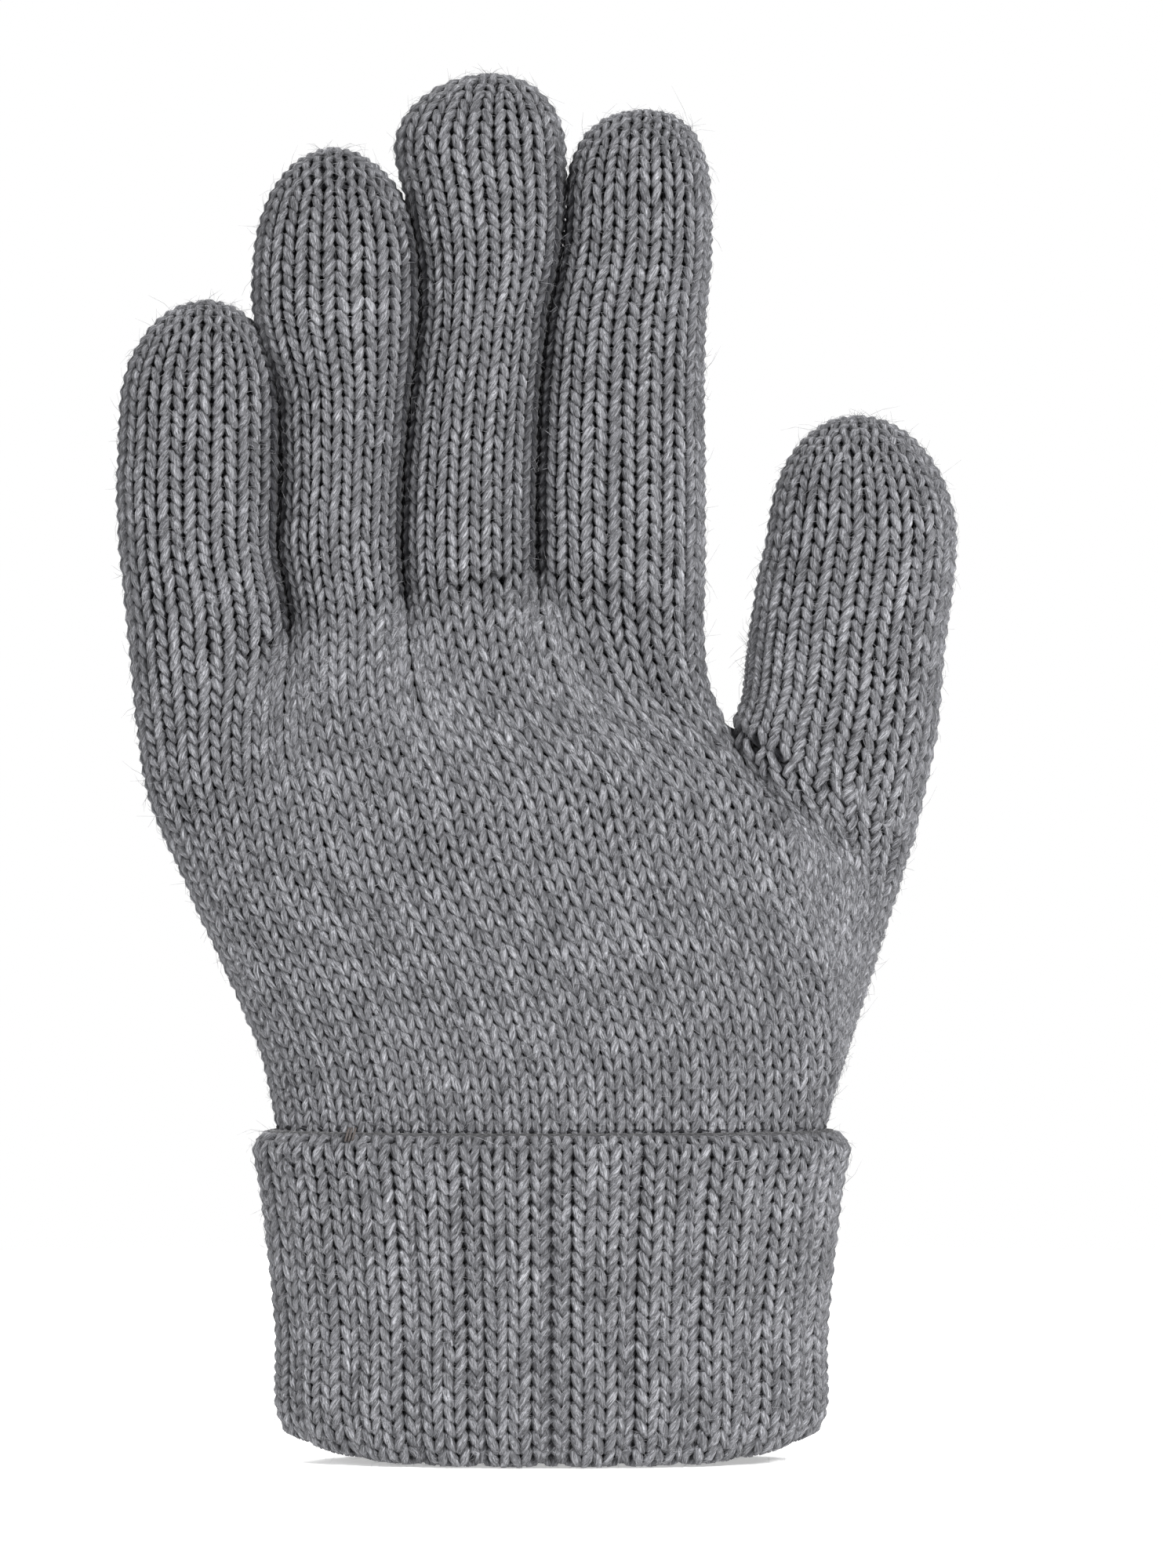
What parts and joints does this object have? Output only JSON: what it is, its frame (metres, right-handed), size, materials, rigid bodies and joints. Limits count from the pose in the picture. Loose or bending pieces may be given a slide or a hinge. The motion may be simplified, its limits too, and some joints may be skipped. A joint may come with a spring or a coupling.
{
  "type": "knitted glove",
  "caption": "Right-hand knitted glove in grey melange wool with a turned-up rib cuff; its fingers, thumb and wrist bend.",
  "frame": {"origin": "middle of the cuff's open lower end, where the hand goes in", "axes": "+Z from the cuff to the fingertips, +X towards the thumb, palm facing -Y"},
  "size_m": [0.1441, 0.041, 0.24],
  "materials": {
    "plain_knit": "soft two-ply wool yarn in grey melange, knitted in plain stockinette, slightly fuzzy",
    "rib_knit": "the same grey melange yarn knitted in rib, doubled and turned up",
    "tack_thread": "short brownish-grey tacking thread"
  },
  "bodies": {
    "cuff": {"cuff_fold": "rib_knit", "cuff_inner_layer": "rib_knit", "cuff_turned_up_layer": "rib_knit", "cuff_top_edge": "rib_knit", "cuff_tack_stitch": "tack_thread", "wrist_knit": "plain_knit"},
    "hand": {"palm_tube": "plain_knit", "little_root_knit": "plain_knit", "ring_root_knit": "plain_knit", "middle_root_knit": "plain_knit", "index_root_knit": "plain_knit", "thumb_root_knit": "plain_knit"},
    "little_lower": {"little_lower_sleeve": "plain_knit", "little_knuckle_knit": "plain_knit"},
    "little_upper": {"little_upper_sleeve": "plain_knit"},
    "ring_lower": {"ring_lower_sleeve": "plain_knit", "ring_knuckle_knit": "plain_knit"},
    "ring_upper": {"ring_upper_sleeve": "plain_knit"},
    "middle_lower": {"middle_lower_sleeve": "plain_knit", "middle_knuckle_knit": "plain_knit"},
    "middle_upper": {"middle_upper_sleeve": "plain_knit"},
    "index_lower": {"index_lower_sleeve": "plain_knit", "index_knuckle_knit": "plain_knit"},
    "index_upper": {"index_upper_sleeve": "plain_knit"},
    "thumb_lower": {"thumb_lower_sleeve": "plain_knit", "thumb_knuckle_knit": "plain_knit"},
    "thumb_upper": {"thumb_upper_sleeve": "plain_knit"}
  },
  "joints": [
    {"name": "wrist_bend", "type": "hinge", "parent": "cuff", "child": "hand", "pos_m": [0, 0, 0.0635], "axis": [1, 0, 0], "range_deg": [-35, 35], "deforming": ["wrist_knit"]},
    {"name": "little_root_bend", "type": "hinge", "parent": "hand", "child": "little_lower", "pos_m": [-0.0606, -0.003, 0.151], "axis": [1, 0, 0], "range_deg": [-10, 75], "deforming": ["little_root_knit"]},
    {"name": "little_knuckle_bend", "type": "hinge", "parent": "little_lower", "child": "little_upper", "pos_m": [-0.0612, -0.003, 0.177], "axis": [1, 0, 0], "range_deg": [0, 85], "deforming": ["little_knuckle_knit"]},
    {"name": "ring_root_bend", "type": "hinge", "parent": "hand", "child": "ring_lower", "pos_m": [-0.0361, -0.003, 0.1555], "axis": [1, 0, 0], "range_deg": [-10, 75], "deforming": ["ring_root_knit"]},
    {"name": "ring_knuckle_bend", "type": "hinge", "parent": "ring_lower", "child": "ring_upper", "pos_m": [-0.0356, -0.003, 0.191], "axis": [1, 0, 0], "range_deg": [0, 85], "deforming": ["ring_knuckle_knit"]},
    {"name": "middle_root_bend", "type": "hinge", "parent": "hand", "child": "middle_lower", "pos_m": [-0.0139, -0.003, 0.1605], "axis": [1, 0, 0], "range_deg": [-10, 75], "deforming": ["middle_root_knit"]},
    {"name": "middle_knuckle_bend", "type": "hinge", "parent": "middle_lower", "child": "middle_upper", "pos_m": [-0.0117, -0.003, 0.198], "axis": [1, 0, 0], "range_deg": [0, 85], "deforming": ["middle_knuckle_knit"]},
    {"name": "index_root_bend", "type": "hinge", "parent": "hand", "child": "index_lower", "pos_m": [0.0121, -0.003, 0.1605], "axis": [1, 0, 0], "range_deg": [-10, 75], "deforming": ["index_root_knit"]},
    {"name": "index_knuckle_bend", "type": "hinge", "parent": "index_lower", "child": "index_upper", "pos_m": [0.0132, -0.003, 0.195], "axis": [1, 0, 0], "range_deg": [0, 85], "deforming": ["index_knuckle_knit"]},
    {"name": "thumb_root_bend", "type": "hinge", "parent": "hand", "child": "thumb_lower", "pos_m": [0.0503, -0.003, 0.1325], "axis": [0.9659, -0.2588, 0], "range_deg": [-10, 50], "deforming": ["thumb_root_knit"]},
    {"name": "thumb_knuckle_bend", "type": "hinge", "parent": "thumb_lower", "child": "thumb_upper", "pos_m": [0.0528, -0.003, 0.156], "axis": [0.9659, -0.2588, 0], "range_deg": [0, 60], "deforming": ["thumb_knuckle_knit"]}
  ]
}
